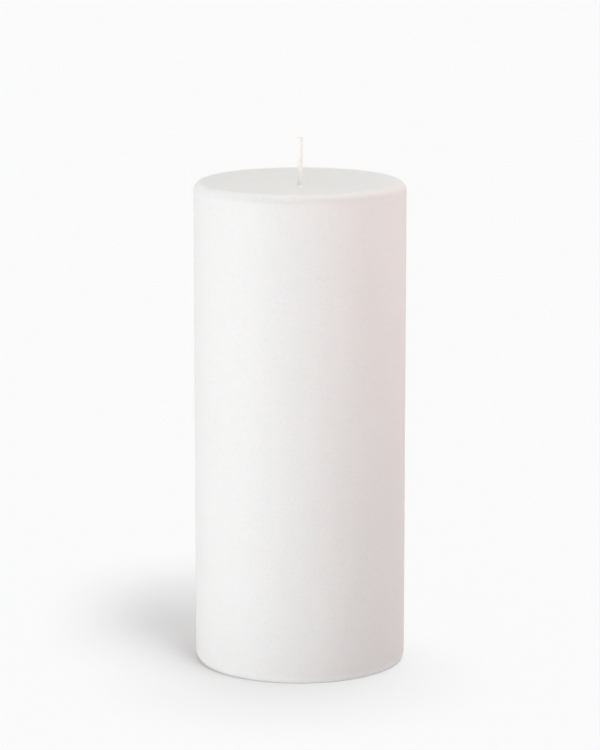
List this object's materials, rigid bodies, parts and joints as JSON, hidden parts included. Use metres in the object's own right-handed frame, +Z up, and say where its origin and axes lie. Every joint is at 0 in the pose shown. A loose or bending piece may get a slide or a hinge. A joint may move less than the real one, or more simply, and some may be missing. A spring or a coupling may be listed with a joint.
{
  "type": "unity candle",
  "caption": "White pillar candle for a wedding ceremony: a dipped wax cylinder with rounded edges, a dished top and a straight braided wick.",
  "frame": {"origin": "centre of the base, on the surface the candle stands on", "axes": "+Z up along the candle's axis, from the base to the wick's tip; X and Y across it, with the braid's wide side facing along Y"},
  "size_m": [0.1, 0.1, 0.2505],
  "materials": {
    "coat_wax": "smooth dipped wax with a soft sheen",
    "core_wax": "cast wax, levelled and slightly grainy",
    "seal_wax": "poured wax with a soft sheen",
    "waxed_cotton": "braided cotton primed with wax",
    "tinned_steel": "stamped, tin-plated"
  },
  "bodies": {
    "root": {"wax_core": "core_wax", "overdip_coat": "coat_wax", "bore_seal": "seal_wax", "base_seal": "seal_wax", "wick_sustainer": "tinned_steel", "wick_strand_1": "waxed_cotton", "wick_strand_2": "waxed_cotton", "wick_strand_3": "waxed_cotton"}
  },
  "joints": []
}
